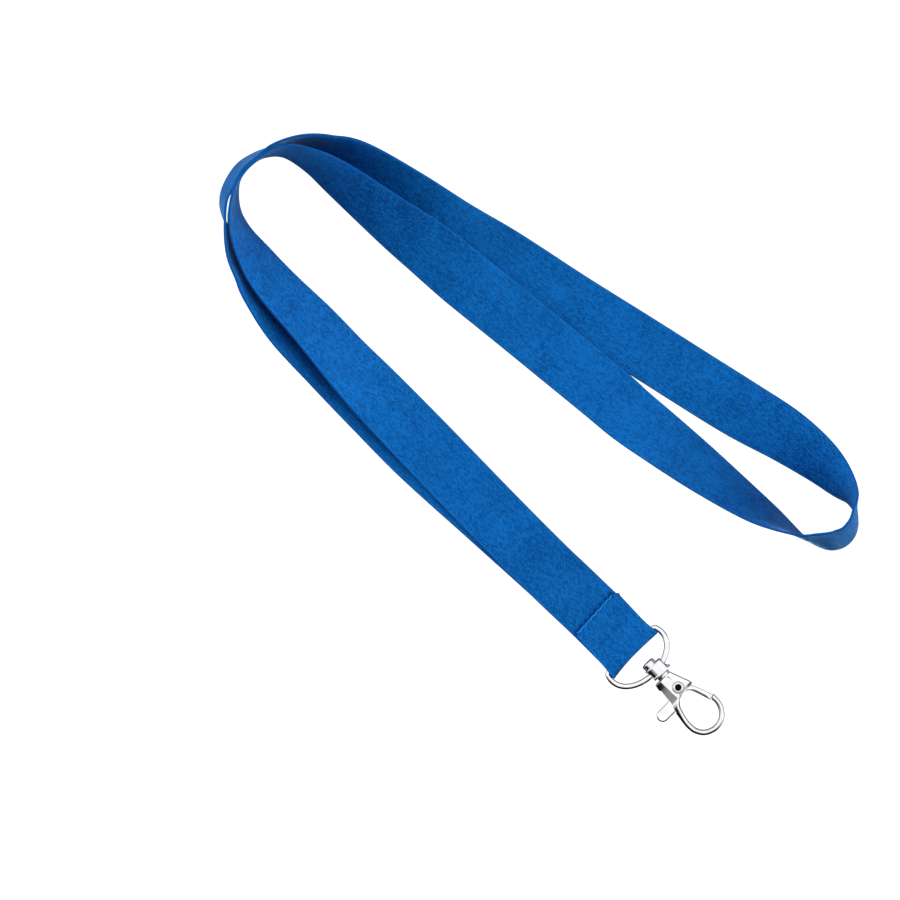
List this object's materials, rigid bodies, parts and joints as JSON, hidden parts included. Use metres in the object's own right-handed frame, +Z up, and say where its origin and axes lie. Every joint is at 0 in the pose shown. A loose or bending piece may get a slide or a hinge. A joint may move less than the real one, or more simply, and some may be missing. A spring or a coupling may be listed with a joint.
{
  "type": "lanyard",
  "caption": "Neck lanyard of flat woven webbing, doubled and sewn round a D-ring that carries a swivel snap hook with a sprung thumb gate.",
  "frame": {"origin": "on the surface that the lanyard lies on, under the middle of its bounding box", "axes": "+Z up from the surface it lies on; -Y down the doubled strap from the neck loop to the hook; +X across the strap, away from the hook's thumb tab"},
  "size_m": [0.1096, 0.2463, 0.02],
  "materials": {
    "webbing": "royal blue polyester webbing, fine satin weave",
    "thread": "blue polyester sewing thread",
    "ring_plating": "polished nickel plate",
    "hook_plating": "polished nickel plate on a die casting",
    "lever_plating": "polished nickel plate on a die casting",
    "rivet_plating": "polished nickel plate",
    "spring_steel": "drawn spring wire"
  },
  "bodies": {
    "strap": {"webbing_strap": "webbing", "top_thread": "thread", "bobbin_thread": "thread"},
    "ring": {"d_ring": "ring_plating"},
    "eye": {"swivel_eye": "hook_plating"},
    "hook": {"hook_body": "hook_plating", "gate_rivet": "rivet_plating"},
    "gate": {"gate_lever": "lever_plating", "gate_spring": "spring_steel"}
  },
  "joints": [
    {"name": "ring_swing", "type": "hinge", "parent": "strap", "child": "ring", "pos_m": [-0.0415, -0.0843, 0.00205], "axis": [-1, 0, 0], "range_deg": [-90, 90]},
    {"name": "eye_tilt", "type": "hinge", "parent": "ring", "child": "eye", "pos_m": [-0.0396, -0.09502, 0.0034], "axis": [-0.9936, -0.1119, 0.0141], "range_deg": [-60, 60]},
    {"name": "hook_swivel", "type": "hinge", "parent": "eye", "child": "hook", "pos_m": [-0.0396, -0.09502, 0.0034], "axis": [0, 0.9973, 0.073], "continuous": true},
    {"name": "gate_open", "type": "hinge", "parent": "hook", "child": "gate", "pos_m": [-0.0391, -0.10394, 0.00275], "axis": [0, 0.073, -0.9973], "range_deg": [0, 24], "stiffness_Nm_per_rad": 0.03, "springref_deg": -20.05}
  ]
}
